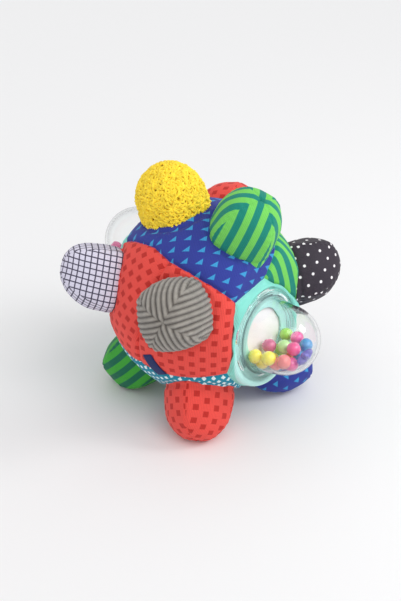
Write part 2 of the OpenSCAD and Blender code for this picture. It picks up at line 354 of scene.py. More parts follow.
class EffectGroups:
    """The shader node groups that several finishes share."""

    WARP_HEIGHT = 0.35
    WEFT_HEIGHT = 0.15
    WARP_SHADE = 0.28
    TWIST_SCALE = 1.6

    def __init__(self) -> None:
        """Builds each group once."""
        self.half_drop = self._half_drop()
        self.weave = self._weave()
        self.ink_edge = self._ink_edge()

    @staticmethod
    def _begin(name: str, inputs: dict, outputs: list[str]) -> tuple[NodeTree, dict, bpy.types.Node]:
        """Starts a group.

        Args:
            name: The group's name.
            inputs: For each input its socket type and its first value.
            outputs: The names of its outputs, all values.

        Returns:
            The tree, its input sockets by name, and the node that takes the outputs.
        """
        group = bpy.data.node_groups.new(name, "ShaderNodeTree")
        for key, (kind, value) in inputs.items():
            socket = group.interface.new_socket(name=key, in_out="INPUT", socket_type=kind)
            if value is not None:
                socket.default_value = value
        for key in outputs:
            group.interface.new_socket(name=key, in_out="OUTPUT", socket_type="NodeSocketFloat")
        tree = NodeTree(group)
        source = tree.add("NodeGroupInput")
        return tree, {key: source.outputs[key] for key in inputs}, tree.add("NodeGroupOutput")

    def _half_drop(self) -> bpy.types.NodeTree:
        """Distances across and up from the nearest motif's middle, in rows that shift column by column."""
        tree, given, out = self._begin(
            "half_drop",
            {
                "Vector": ("NodeSocketVector", None),
                "Across Pitch": ("NodeSocketFloat", 8.0),
                "Up Pitch": ("NodeSocketFloat", 8.0),
                "Drop": ("NodeSocketFloat", 0.5),
            },
            ["Across", "Up"],
        )
        parts = tree.split(given["Vector"])
        steps = tree.math("DIVIDE", parts.outputs[0], given["Across Pitch"])
        column = tree.math("FLOOR", steps)
        across = tree.math("SUBTRACT", tree.math("SUBTRACT", steps, column), 0.5)
        drop = tree.math("MULTIPLY", column, given["Drop"])
        rows = tree.math("ADD", tree.math("DIVIDE", parts.outputs[1], given["Up Pitch"]), drop)
        up = tree.math("SUBTRACT", tree.math("FRACT", rows), 0.5)
        tree.feed(out.inputs["Across"], tree.math("MULTIPLY", across, given["Across Pitch"]))
        tree.feed(out.inputs["Up"], tree.math("MULTIPLY", up, given["Up Pitch"]))
        return tree.tree

    def _weave(self) -> bpy.types.NodeTree:
        """Threads that cross at right angles, with an uneven twist: a height and a shade."""
        tree, given, out = self._begin(
            "weave",
            {"Vector": ("NodeSocketVector", None), "Thread": ("NodeSocketFloat", 0.6)},
            ["Height", "Shade"],
        )
        parts = tree.split(given["Vector"])
        turns = tree.math("DIVIDE", FULL_TURN, given["Thread"])
        warp, weft = (tree.math("SINE", tree.math("MULTIPLY", parts.outputs[k], turns)) for k in (0, 1))
        high_warp = tree.math("MULTIPLY", warp, self.WARP_HEIGHT)
        threads = tree.math("ADD", high_warp, tree.math("MULTIPLY", weft, self.WEFT_HEIGHT))
        twist = tree.noise(given["Vector"], self.TWIST_SCALE, 4.0, 0.6)
        tree.feed(out.inputs["Height"], tree.math("ADD", threads, twist))
        tree.feed(out.inputs["Shade"], tree.math("ADD", tree.math("MULTIPLY", warp, self.WARP_SHADE), twist))
        return tree.tree

    def _ink_edge(self) -> bpy.types.NodeTree:
        """A mask that is one where a distance in millimetres is below zero, with a soft edge."""
        tree, given, out = self._begin(
            "ink_edge",
            {"Distance": ("NodeSocketFloat", 0.0), "Softness": ("NodeSocketFloat", 0.25)},
            ["Mask"],
        )
        share = tree.math("DIVIDE", given["Distance"], given["Softness"])
        tree.feed(out.inputs["Mask"], tree.math("SUBTRACT", 0.5, share, clamp=True))
        return tree.tree


@dataclass(frozen=True)
class Fabric:
    """One cloth: its print, colours and pile.

    The motif is its width and height, and the pitch that of its columns and rows. The drop is how far each
    column sits below the last, as a share of the pitch. The relief is the bump's depth in metres, and the
    mottle the depth and the scale of its uneven patches, lighter and darker at random; on the pile they are
    painted highlights. A slant is the share of a distance along an axis that is left when it is measured
    square to a motif's sloping edge.
    """

    name: str
    pattern: Pattern
    ground: str
    # The motif colour: a print's colour, and on the corduroy painted shade in the grooves between its ribs.
    ink_and_groove_shade: str = "FFFFFF"
    motif: tuple[float, float] = (3.0, 3.0)
    pitch: tuple[float, float] = (8.0, 8.0)
    drop: float = 0.5
    thread: float = 0.9
    relief: float = 0.00012
    rough: float = 0.85
    sheen: float = 0.06
    soft: float = 0.3
    mottle: tuple[float, float] = (0.16, 60.0)
    weave_depth: float = 0.3
    sheen_rough: float = 0.45
    bump_strength: float = 0.8
    diamond_slant: float = 0.7
    triangle_slant: float = 0.75

    def build(self, groups: EffectGroups) -> bpy.types.Material:
        """Builds the cloth's material.

        Args:
            groups: The shared node groups.

        Returns:
            The material, which reads the piece's cloth UV map.
        """
        material, tree, shader = new_material(self.name)
        where = tree.cloth()
        weave = tree.grouped(groups.weave, {"Vector": where, "Thread": self.thread})
        colour = tone(self.ground)
        distance = self._ink_distance(tree, groups, where)
        if distance is not None:
            edge = tree.grouped(groups.ink_edge, {"Distance": distance, "Softness": self.soft})
            colour = tree.mix(edge.outputs["Mask"], tone(self.ground), tone(self.ink_and_groove_shade))
        shade = tree.near(1, weave.outputs["Shade"], self.weave_depth)
        # Uneven patches, lighter and darker at random; on the pile they are painted highlights.
        depth, scale = self.mottle
        patches_and_painted_highlights = tree.near(1, tree.noise(tree.place(), scale, 2), depth)
        lit = tree.add("ShaderNodeHueSaturation")
        tree.fill(lit, {"Value": tree.math("MULTIPLY", shade, patches_and_painted_highlights), "Color": colour})
        bump = tree.add("ShaderNodeBump")
        tree.fill(bump, {"Distance": self.relief, "Strength": self.bump_strength})
        tree.feed(bump.inputs["Height"], weave.outputs["Height"])
        tree.fill(
            shader,
            {
                "Base Color": lit.outputs["Color"],
                "Roughness": self.rough,
                "Sheen Weight": self.sheen,
                "Sheen Roughness": self.sheen_rough,
                "Normal": bump.outputs["Normal"],
            },
        )
        return material

    def _ink_distance(self, tree: NodeTree, groups: EffectGroups, where) -> bpy.types.NodeSocket | None:
        """How far a point lies outside the nearest motif, or None for a plain cloth.

        Args:
            tree: The material's tree.
            groups: The shared node groups.
            where: The place on the cloth.

        Returns:
            A distance in millimetres, below zero inside a motif.
        """
        if self.pattern in (Pattern.PLAIN, Pattern.PILE):
            return None
        wide, high = self.pitch
        cell = tree.grouped(
            groups.half_drop, {"Vector": where, "Across Pitch": wide, "Up Pitch": high, "Drop": self.drop}
        )
        across, up = cell.outputs["Across"], cell.outputs["Up"]
        side, rise = tree.math("ABSOLUTE", across), tree.math("ABSOLUTE", up)
        half_w, half_h = self.motif[0] / 2, self.motif[1] / 2
        # On the corduroy the stripe lies in each groove between two ribs, and its colour there is painted
        # shade.
        if self.pattern in (Pattern.STRIPES, Pattern.RIBS):
            return tree.math("SUBTRACT", side, half_w)
        if self.pattern is Pattern.GRID:
            to_side, to_top = tree.math("SUBTRACT", side, wide / 2), tree.math("SUBTRACT", rise, high / 2)
            to_line = tree.math("MAXIMUM", to_side, to_top)
            return tree.math("SUBTRACT", tree.math("MULTIPLY", to_line, -1.0), half_w)
        if self.pattern is Pattern.DOTS:
            squares = tree.math("ADD", tree.math("POWER", side, 2.0), tree.math("POWER", rise, 2.0))
            return tree.math("SUBTRACT", tree.math("SQRT", squares), half_w)
        if self.pattern is Pattern.DIAMONDS:
            shares = tree.math("ADD", tree.math("DIVIDE", side, half_w), tree.math("DIVIDE", rise, half_h))
            past = tree.math("SUBTRACT", shares, 1.0)
            return tree.math("MULTIPLY", past, min(half_w, half_h) * self.diamond_slant)
        if self.pattern is Pattern.TRIANGLES:
            slope = self.motif[1] / self.motif[0]
            top = tree.math("SUBTRACT", up, tree.math("MULTIPLY", across, slope))
            foot = tree.math("SUBTRACT", tree.math("MULTIPLY", up, -1.0), half_h)
            square_sides = tree.math("MAXIMUM", foot, tree.math("SUBTRACT", across, half_w))
            return tree.math("MAXIMUM", tree.math("MULTIPLY", top, self.triangle_slant), square_sides)
        past_side, past_top = tree.math("SUBTRACT", side, half_w), tree.math("SUBTRACT", rise, half_h)
        return tree.math("MAXIMUM", past_side, past_top)


@dataclass(frozen=True)
class Plastic:
    """A glossy moulded plastic, tinted and faintly uneven."""

    name: str
    colour: str
    rough: float = 0.18
    through: float = 0.0
    coat: float = 0.4
    haze_scale: float = 260.0
    haze_rough: float = 0.1
    haze_pale: float = 0.12
    coat_rough: float = 0.05
    ior: float = 1.49

    def build(self) -> bpy.types.Material:
        """Builds the material from the object's own coordinates."""
        material, tree, shader = new_material(self.name)
        haze = tree.noise(tree.place(), self.haze_scale, 2)
        *hue, alpha = tone(self.colour)
        pale = (*[c + (1 - c) * self.haze_pale for c in hue], alpha)
        tree.fill(
            shader,
            {
                "Base Color": tree.mix(haze, (*hue, alpha), pale),
                "Roughness": tree.near(self.rough, haze, self.haze_rough),
                "Transmission Weight": self.through,
                "Coat Weight": self.coat,
                "Coat Roughness": self.coat_rough,
                "IOR": self.ior,
            },
        )
        return material


@dataclass(frozen=True)
class ClearPlastic:
    """A window's clear shell, with painted shade where it is seen edge-on and along the ring at its foot."""

    name: str = "clear_shell"
    tint: tuple[float, float, float, float] = (0.98, 0.99, 0.99, 1.0)
    # The edge colour is painted shade: reflections at the rim and a refraction line at the ring.
    edge: str = "444C56"
    rough: float = 0.02
    ior: float = 1.38
    clear: float = 0.85
    # How strong the painted reflection at the rim is, how fast it falls off, and where the painted ring line
    # lies.
    rim: float = 0.9
    painted_rim_power: float = 3.5
    ring_r: float = 22.6
    ring_w: float = 1.0
    ring_h: float = 4.0

    def build(self) -> bpy.types.Material:
        """Builds a glass-like material with fine handling marks in its roughness and a pale shadow.

        The UV map holds a point's radius and height, which place the painted ring line.
        """
        material, tree, shader = new_material(self.name)
        # Painted reflection, in the edge colour, where the shell is seen edge-on.
        facing = tree.fill(tree.add("ShaderNodeLayerWeight"), {"Blend": 0.5}).outputs["Facing"]
        rim = tree.math("MULTIPLY", tree.math("POWER", facing, self.painted_rim_power), self.rim)
        # Painted refraction line along the ring at the foot, below the ring's height.
        parts = tree.split(tree.cloth())
        off = tree.math("ABSOLUTE", tree.math("SUBTRACT", parts.outputs[0], self.ring_r))
        ring = tree.math("SUBTRACT", 1.0, tree.math("MULTIPLY", off, 1 / self.ring_w), clamp=True)
        low = tree.math("LESS_THAN", parts.outputs[1], self.ring_h)
        # Both marks are painted shade, mixed into the tint as the edge colour.
        dark = tree.math("MAXIMUM", rim, tree.math("MULTIPLY", ring, low))
        marks = tree.noise(tree.place(), 400, 6, 0.7)
        shaded = tree.add("ShaderNodeLightPath").outputs["Is Shadow Ray"]
        tree.fill(
            shader,
            {
                "Base Color": tree.mix(dark, self.tint, tone(self.edge)),
                "Roughness": tree.math("MULTIPLY", marks, self.rough),
                "Transmission Weight": 1.0,
                "IOR": self.ior,
                "Alpha": tree.math("SUBTRACT", 1.0, tree.math("MULTIPLY", shaded, self.clear)),
            },
        )
        return material


FABRICS = {
    fabric.name: fabric
    for fabric in (
        Fabric("red_squares", Pattern.SQUARES, "E84A41", "BE241C", (3.3, 3.3), (6.2, 7.6)),
        Fabric("blue_triangles", Pattern.TRIANGLES, "293896", "369AD4", (4.0, 3.5), (8.5, 7.3), 0.0),
        Fabric("green_stripes", Pattern.STRIPES, "008574", "72CF5A", (4.0, 1.0), (8.0, 20.0), 0.0),
        # A darker copy of the green stripes, with painted shade, for the low knob that faces the floor.
        Fabric("shaded_green_stripes", Pattern.STRIPES, "046A4E", "3CA836", (4.0, 1.0), (8.0, 20.0), 0.0),
        Fabric("teal_diamonds", Pattern.DIAMONDS, "068AA6", "E2F6F8", (2.8, 2.8), (2.8, 6.0)),
        Fabric("plum_dots", Pattern.DOTS, "2B2230", "F4F0F4", (1.7, 1.7), (5.9, 7.9), rough=0.7),
        Fabric(
            "aqua_knit", Pattern.DOTS, "82DECF", "B9ECE6", (61.0, 61.0), (400.0, 400.0), 0.0,
            relief=0.00005, rough=0.5, sheen=0.1,
        ),
        # The corduroy's darker motif colour is painted shade in the grooves between its ribs.
        Fabric(
            "grey_corduroy", Pattern.RIBS, "A8A29A", "5E5852", (1.3, 1.0), (3.1, 20.0), 0.0,
            thread=0.35, relief=0.0003, rough=0.95, sheen=0.35, soft=1.1, mottle=(0.6, 260.0),
        ),
        # The pile's mottle is painted highlights: blotches lighter and darker all over it.
        Fabric("yellow_pile", Pattern.PILE, "FFDF3C", thread=0.4, rough=0.95, sheen=0.1, mottle=(0.4, 280.0)),
        Fabric("grid_knit", Pattern.GRID, "DCD9EC", "35304A", (0.7, 0.7), (3.35, 3.35), 0.0),
        Fabric("navy_ribbon", Pattern.PLAIN, "16265E", thread=0.5, relief=0.0001),
        Fabric("stuffing", Pattern.PLAIN, "F2F2F0", thread=2.0, relief=0.0004),
    )
}


@dataclass
class Window:
    """One clear window: its plane, axis and the sizes of its dome and rim."""

    middle: np.ndarray
    axis: np.ndarray
    flange_r: float = 27.0
    rim_w: float = 1.5
    shoulder_h: float = 14.0
    shoulder_w: float = 6.0
    hole_r: float = 15.0
    plate_r: float = 25.0
    plate_t: float = 2.0
    fabric_t: float = 1.2

    def height(self, points: np.ndarray) -> np.ndarray:
        """How far points lie outside the window's plane."""
        return (points - self.middle) @ self.axis

    def radial(self, points: np.ndarray) -> np.ndarray:
        """How far points lie from the dome's axis."""
        off = points - self.middle
        return np.linalg.norm(off - (off @ self.axis)[..., None] * self.axis, axis=-1)

    def axes(self) -> np.ndarray:
        """The dome's own axes as columns: x points as far down as it can, z along the dome."""
        right = np.cross([0.0, 0.0, 1.0], self.axis)
        right /= np.linalg.norm(right)
        return np.stack([np.cross(right, self.axis), right, self.axis], axis=1)

    def rim_r(self) -> float:
        """Radius of the fabric under the flange."""
        return self.flange_r + self.rim_w


@dataclass
class Ball:
    """The stuffed ball's shape, which every panel and knob follows."""

    radius: float = 56.0
    window_depth: float = 46.0
    window_place: Place = Place(48.5, -9.5)
    neck_blend: float = 4.0
    edge_blend: float = 2.0
    search_shares: tuple[float, float] = (0.6, 1.3)
    halvings: int = 20
    centre: np.ndarray = field(init=False)
    windows: list[Window] = field(init=False)

    def __post_init__(self) -> None:
        """Takes the windows' places and the ball's centre from the frame's joints."""
        joints = {joint["name"]: joint for joint in frame["joints"]}
        pair = [joints[name] for name in (FRONT_JOINT, REAR_JOINT)]
        spots = [np.array(joint["pos_m"]) / MM for joint in pair]
        ways = [np.array(joint["axis"]) for joint in pair]
        self.centre = spots[0] - self.window_depth * self.window_place.way()
        self.windows = [
            Window(spot - self.centre, way / np.linalg.norm(way)) for spot, way in zip(spots, ways)
        ]

    def outside(self, points: np.ndarray) -> np.ndarray:
        """How far points lie outside the ball's cloth.

        The ball is a sphere joined to a cone behind each window's rim, and cut by each window's plane, with
        the corners rounded.
        """
        out = np.linalg.norm(points, axis=-1) - self.radius
        for window in self.windows:
            height = window.height(points)
            slope = window.shoulder_w / window.shoulder_h
            cone = window.radial(points) - window.rim_r() + slope * height
            cone = np.maximum(cone / math.hypot(1, slope), -height - window.shoulder_h)
            out = soft_min(out, cone, self.neck_blend)
        for window in self.windows:
            out = soft_max(out, window.height(points), self.edge_blend)
        return out

    def surface(self, ways: np.ndarray) -> np.ndarray:
        """Points of the ball's cloth along unit vectors, found by halving the stretch that holds it."""
        low, high = (np.full(ways.shape[:-1], self.radius * share) for share in self.search_shares)
        for _ in range(self.halvings):
            middle = (low + high) / 2
            inside = self.outside(ways * middle[..., None]) < 0
            low, high = np.where(inside, middle, low), np.where(inside, high, middle)
        return ways * low[..., None]


@dataclass
class Stuffing:
    """Swells the covers together with Blender's cloth, at a steady pressure and with no gravity.

    The cap is the furthest that a point may move, in millimetres.
    """

    pressure: float = 4.0
    frames: int = 20
    cap: float = 1.6
    quality: int = 4
    mass: float = 0.2
    stiffness: float = 12.0
    bending: float = 0.6
    jobs: dict[str, tuple[bpy.types.Object, np.ndarray]] = field(default_factory=dict)

    def add(self, name: str, points: np.ndarray, held: np.ndarray) -> None:
        """Adds one cover.

        Args:
            name: Its name.
            points: A grid of points whose columns join up.
            held: How firmly each point is held, from 0 to 1.
        """
        piece = make_piece("sim_" + name, points, grid_faces(*points.shape[:2]))
        group = piece.vertex_groups.new(name="held")
        steps = np.round(held.ravel(), 1)
        for weight in np.unique(steps):
            group.add(np.flatnonzero(steps == weight).tolist(), float(weight), "REPLACE")
        cloth = piece.modifiers.new("cloth", "CLOTH").settings
        cloth.quality = self.quality
        cloth.mass = self.mass
        cloth.tension_stiffness = cloth.compression_stiffness = self.stiffness
        cloth.bending_stiffness = self.bending
        cloth.use_pressure = True
        cloth.uniform_pressure_force = self.pressure
        cloth.vertex_group_mass = group.name
        cloth.effector_weights.gravity = 0
        self.jobs[name] = (piece, points)

    def run(self) -> dict[str, np.ndarray]:
        """Steps the simulation and removes its objects.

        Returns:
            For each cover, how far each point swelled along its normal, in millimetres.
        """
        swollen = {}
        for step in range(1, self.frames + 1):
            bpy.context.scene.frame_set(step)
        graph = bpy.context.evaluated_depsgraph_get()
        for name, (piece, points) in self.jobs.items():
            moved = np.zeros(points.size, np.float32)
            piece.evaluated_get(graph).data.vertices.foreach_get("co", moved)
            moved = moved.reshape(points.shape) / MM - points
            along = (moved * grid_normals(points)).sum(-1)
            swollen[name] = np.clip(along, -self.cap, self.cap)
            log.info("stuffed %s: swelled by %.2f mm at most", name, float(along.max()))
        for piece, _ in self.jobs.values():
            bpy.data.objects.remove(piece)
        bpy.context.scene.frame_set(1)
        return swollen


@dataclass
class Knob:
    """One stuffed knob: a cover of four gores sewn to the ball.

    Its outline is a thimble: straight for a tenth of its height, then a superellipse, and one row in seven
    lies on the straight part. Its gores are a little flat, so that the four seams stand out as soft corners.
    Its relief is bell curves of the distances to a seam, the tip and the foot, and two ripples, each with its
    height and its length.
    """

    name: str
    place: Place
    cloth: str
    slot: str
    ball: Ball
    rows: int = 90
    cols: int = 192
    widest: float = 19.5
    tip: float = 83.0
    straight: float = 0.1
    round_r: float = 2.2
    round_h: float = 2.6
    row_power: float = 1.2
    rows_per_straight: int = 7
    corner: float = 2.3
    corner_power: float = 1.6
    flat: float = 0.4
    shift: tuple[float, float, float] = (0.0, 0.0, 0.0)
    lean: tuple[float, float, float] = (0.0, 0.0, 0.0)
    gores: int = 4
    clear: float = 0.3
    tuck: float = 3.4
    seam_groove: tuple[float, float] = (0.55, 0.8)
    seam_pucker: tuple[float, float] = (0.16, 2.4)
    pucker_pitch: float = 3.6
    tip_dimple: tuple[float, float] = (0.7, 2.4)
    foot_crease: tuple[float, float] = (0.6, 1.5)
    foot_gathers: tuple[float, float] = (0.14, 3.5)
    gathers_way: float = 2.0
    gather_counts: tuple[int, int] = (23, 37)
    lumps: tuple[float, float] = (0.4, 16.0)
    wrinkles: tuple[float, float] = (0.08, 5.0)
    seam_hold: tuple[float, float] = (0.8, 1.6)
    foot_hold: float = 4.0
    rib_pitch: float = 3.1
    rib_height: float = 0.8
    rib_power: float = 0.7
    rib_seam_fade: tuple[float, float] = (0.6, 0.9)
    rib_tip_fade: tuple[float, float] = (0.4, 3.0)

    def profile(self, count: int) -> tuple[np.ndarray, np.ndarray]:
        """The outline from below the sewn foot to the tip.

        Args:
            count: Number of points.

        Returns:
            The radius and the distance from the ball's centre at each point.
        """
        foot_z = math.sqrt((self.ball.radius + self.clear) ** 2 - self.widest**2)
        height = self.tip - foot_z
        low = count // self.rows_per_straight
        share = np.linspace(-self.tuck / height, self.straight, low, endpoint=False)
        even = np.linspace(0, QUARTER_TURN, count - low)
        angle = even**self.row_power / QUARTER_TURN ** (self.row_power - 1)
        high_r = self.widest * np.cos(angle).clip(0) ** (2 / self.round_r)
        high = self.straight + (1 - self.straight) * np.sin(angle) ** (2 / self.round_h)
        return (
            np.concatenate([np.full(low, self.widest), high_r]),
            foot_z + height * np.concatenate([share, high]),
        )

    def grid(self, rows: int, cols: int) -> tuple[np.ndarray, np.ndarray, np.ndarray]:
        """The cover in the knob's own axes.

        A point's radius is the outline's, less the flat, plus the corner times a power of one less the sine
        of twice the way round, which peaks at the seams.

        Args:
            rows: Points from foot to tip.
            cols: Points round it.

        Returns:
            The points, the distance to the nearest seam, and the way along the cover from its foot.
        """
        radius, height = self.profile(rows)
        angle = round_turn(cols)
        to_seam = np.abs(np.sin(angle * self.gores / 2))
        share = np.minimum(radius / self.widest, 1)[:, None]
        r = radius[:, None] + share * (self.corner * (1 - to_seam[None, :]) ** self.corner_power - self.flat)
        points = np.stack([r * np.cos(angle), r * np.sin(angle), np.repeat(height[:, None], cols, 1)], -1)
        half_gore = math.pi / self.gores
        turn = np.abs((angle + half_gore) % (2 * half_gore) - half_gore)
        along = np.concatenate([[0], np.cumsum(np.hypot(np.diff(radius), np.diff(height)))])
        return points, radius[:, None] * turn[None, :], along

    def placed(self, points: np.ndarray) -> np.ndarray:
        """Points of the knob's own axes in the ball's, with a lean that grows as the square of the way up."""
        foot_z = math.sqrt(self.ball.radius**2 - self.widest**2)
        rise = np.clip((points[..., 2:] - foot_z) / (self.tip - foot_z), 0, 1)
        return points @ self.place.axes().T + np.array(self.shift) + rise**2 * np.array(self.lean)

    def stuff(self, stuffing: Stuffing, rows: int = 22, cols: int = 64) -> None:
        """Adds a coarse cover to the simulation, held at its foot and along its seams."""
        points, seam, along = self.grid(rows + 1, cols)
        held = np.maximum(bell(seam, self.seam_hold), (along[:, None] < self.foot_hold) * 1.0)
        stuffing.add(self.name, self.placed(points[:-1]), held[:-1])

    def cover(self, swell: np.ndarray) -> np.ndarray:
        """The finished cover.

        Along its normals go the simulated swell, a groove and small puckers at each seam, a dimple where the
        seams meet, a crease and gathers at the foot, and the ribs of a ribbed cloth.

        Args:
            swell: The coarse grid of how far the cover swelled.

        Returns:
            The grid of points in the ball's axes.
        """
        points, seam, along = self.grid(self.rows, self.cols)
        normal = grid_normals(points)
        seed = sum(map(ord, self.name))
        tip_way = (along[-1] - along)[:, None]
        foot_way = (along - self.tuck)[:, None]
        out = widen(swell, self.rows, self.cols) - bell(seam, self.seam_groove)
        waves = np.sin(along[:, None] * FULL_TURN / self.pucker_pitch + seed)
        out = out + waves * bell(seam, self.seam_pucker) * (seam > 0)
        out = out - bell(tip_way, self.tip_dimple) - bell(foot_way, self.foot_crease)
        angle = round_turn(self.cols)
        few, many = self.gather_counts
        gathers = np.sin(few * angle + seed) + 0.6 * np.sin(many * angle + 2 * seed)
        out = out + gathers[None, :] * bell(foot_way - self.gathers_way, self.foot_gathers)
        for step, (height, length) in enumerate((self.lumps, self.wrinkles)):
            out = out + height * ripple(points, length, seed + step)
        if FABRICS[self.cloth].pattern is Pattern.RIBS:
            out = out + self.ribs(seam, tip_way)
        points = self.placed(points + normal * out[..., None])
        points[..., 2] = np.maximum(points[..., 2], -self.ball.centre[2])
        return points

    def ribs(self, seam: np.ndarray, tip_way: np.ndarray) -> np.ndarray:
        """Heights of ribs that run up each gore side by side.

        A rib is a power of the cosine of the way across from the gore's middle line, which rounds its top.
        The ribs sink at the seams and at the tip.
        """
        across = np.max(seam, axis=1, keepdims=True) - seam
        rib = np.abs(np.cos(math.pi * across / self.rib_pitch)) ** self.rib_power
        fade = (1 - bell(seam, self.rib_seam_fade)) * (1 - bell(tip_way, self.rib_tip_fade))
        return self.rib_height * rib * fade

    def cloth_map(self) -> np.ndarray:
        """The way across each gore from its middle line and the way up it, for each corner of each face."""
        radius, _ = self.profile(self.rows)
        _, _, along = self.grid(self.rows, self.gores)
        faces = self.cols // self.gores
        step = FULL_TURN / self.cols
        j = np.arange(self.cols) % faces
        i = np.arange(self.rows - 1)
        corners = []
        for up, right in ((0, 0), (0, 1), (1, 1), (1, 0)):
            across = (j[None, :] + right - faces / 2) * step * radius[i + up][:, None]
            corners.append(np.stack([across, np.repeat(along[i + up][:, None], self.cols, 1)], -1))
        return np.stack(corners, 2).reshape(-1, 2)

    def build(self, swell: np.ndarray, finish: bpy.types.Material) -> bpy.types.Object:
        """Args:
            swell: The simulated swell of its coarse grid.
            finish: Its cloth.

        Returns:
            The new piece.
        """
        points = self.cover(swell) + self.ball.centre
        faces = grid_faces(self.rows, self.cols)
        piece = make_piece(self.name + "_cover", points, faces, finish, self.cloth_map())
        declare(piece, self.name)
        log.info("%s: %d faces of %s", piece.name, len(faces), self.cloth)
        return piece


@dataclass
class LoopPile:
    """The curly loops of a pile knob: small arcs of yarn that stand all over its cover.

    The covered share of the cover starts past its bare foot, which is tucked into the seam.
    """

    knob: Knob
    count: int = 2600
    loop_r: float = 1.3
    yarn_r: float = 0.72
    steps: int = 8
    sides: int = 5
    seed: int = 7
    covered_share: float = 0.93
    bare_share: float = 0.067
    unruly: float = 0.45
    size_shares: tuple[float, float] = (0.75, 1.25)
    past_half: float = 0.35
    lift_share: float = 0.25
    patch: float = 40.0

    def build(self, finish: bpy.types.Material) -> bpy.types.Object:
        """Makes all the loops as one mesh.

        The loops' feet follow a spiral of equal areas. Each loop is an arc in the plane of the cover's normal
        and a seeded tangent, and its yarn thins to a point at both feet.

        Args:
            finish: The pile's cloth.

        Returns:
            The new piece.
        """
        draw = np.random.default_rng(self.seed)
        rows, cols = 240, 360
        points, _, along = self.knob.grid(rows, cols)
        normal = grid_normals(points)
        radius, _ = self.knob.profile(rows)
        area = np.concatenate([[0], np.cumsum(np.diff(along) * (radius[1:] + radius[:-1]) / 2)])
        order = np.arange(self.count)
        share = (order + 0.5) / self.count * self.covered_share + self.bare_share
        row = np.interp(share * area[-1], area, np.arange(rows)).astype(int).clip(1, rows - 4)
        col = ((order * GOLDEN_SHARE % 1) * cols).astype(int)
        foot, up = points[row, col], normal[row, col]
        tangent = np.cross(up, draw.normal(size=(self.count, 3)))
        tangent /= np.linalg.norm(tangent, axis=1, keepdims=True)
        up = up + draw.normal(scale=self.unruly, size=(self.count, 3))
        up /= np.linalg.norm(up, axis=1, keepdims=True)
        size = self.loop_r * draw.uniform(*self.size_shares, self.count)
        turn = np.linspace(-self.past_half, math.pi + self.past_half, self.steps)
        cosine, sine = np.cos(turn)[None, :, None], np.sin(turn)[None, :, None]
        bend = cosine * tangent[:, None] + (sine + self.lift_share) * up[:, None]
        arc = foot[:, None] + size[:, None, None] * bend
        side = np.cross(up, tangent)[:, None, None]
        outward = (cosine * tangent[:, None] + sine * up[:, None])[:, :, None]
        ring = round_turn(self.sides)[None, None, :, None]
        yarn = self.yarn_r * np.minimum(1, 0.05 + 3 * np.sin(np.linspace(0, math.pi, self.steps)))
        tube = arc[:, :, None] + yarn[None, :, None, None] * (np.cos(ring) * outward + np.sin(ring) * side)
        loop_size = self.steps * self.sides
        faces = grid_faces(self.steps, self.sides)[None] + order[:, None, None] * loop_size
        uv = np.repeat(draw.uniform(0, self.patch, (self.count, 1, 2)), loop_size, 1)
        placed = self.knob.placed(tube.reshape(-1, 3)) + self.knob.ball.centre
        piece = make_piece(self.knob.name + "_pile", placed, faces.reshape(-1, 4), finish, uv.reshape(-1, 2))
        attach(piece, BALL_BODY)
        log.info("%s: %d loops", piece.name, self.count)
        return piece


